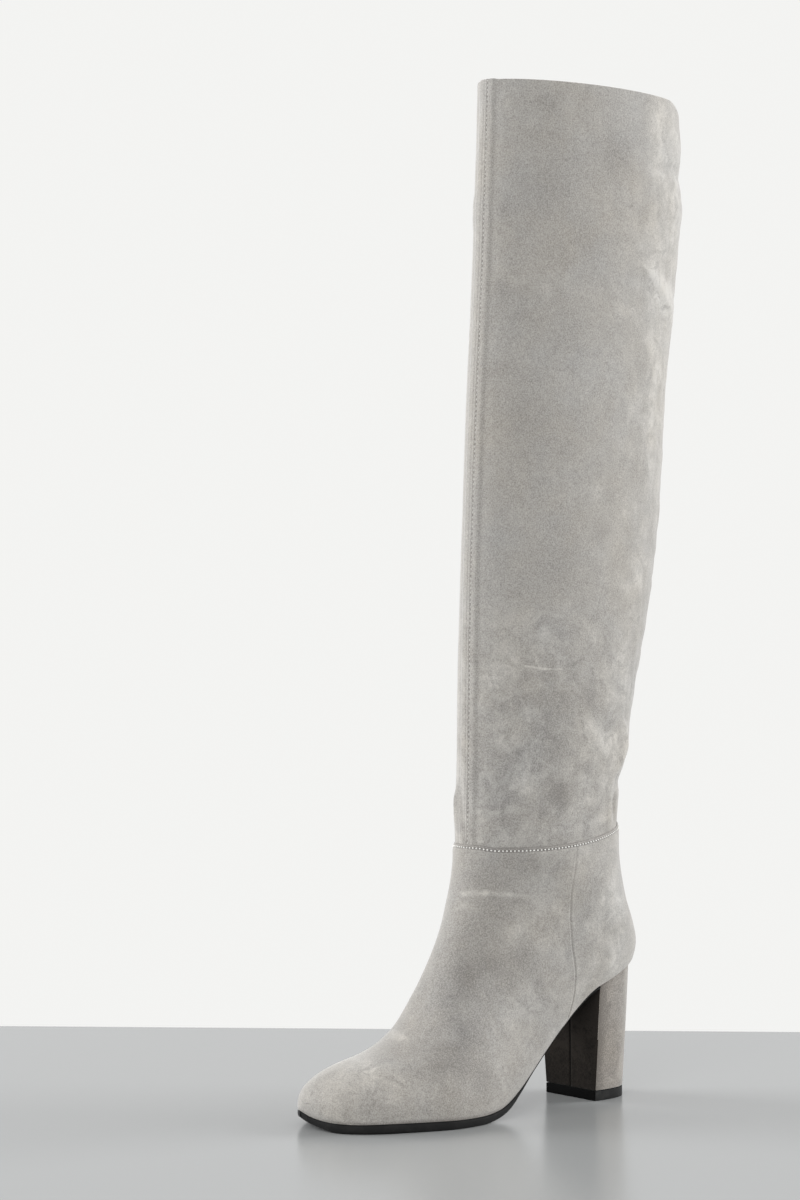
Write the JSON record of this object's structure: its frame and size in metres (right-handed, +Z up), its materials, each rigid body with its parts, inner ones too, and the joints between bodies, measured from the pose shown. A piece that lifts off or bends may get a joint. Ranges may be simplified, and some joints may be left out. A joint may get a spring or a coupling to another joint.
{
  "type": "over-the-knee boot",
  "caption": "Left over-the-knee pull-on boot in grey suede, with a tall open shaft, a stitched front seam, a rounded toe, a thin black sole and a tall block heel.",
  "frame": {"origin": "middle of the boot's box at floor level", "axes": "+Z up, toe towards -Y, outer side of the left foot towards +X"},
  "size_m": [0.0846, 0.277, 0.6135],
  "materials": {
    "suede": "light grey suede with a short brushed nap, matt, a little mottled",
    "lining": "plain light textile and sock lining",
    "sole": "black synthetic sole, low sheen",
    "heel_cap": "hard black rubber top piece"
  },
  "bodies": {
    "root": {"upper": "suede", "shaft": "suede", "insole": "lining", "outsole": "sole", "heel": "suede", "heel_cap": "heel_cap"}
  },
  "joints": []
}
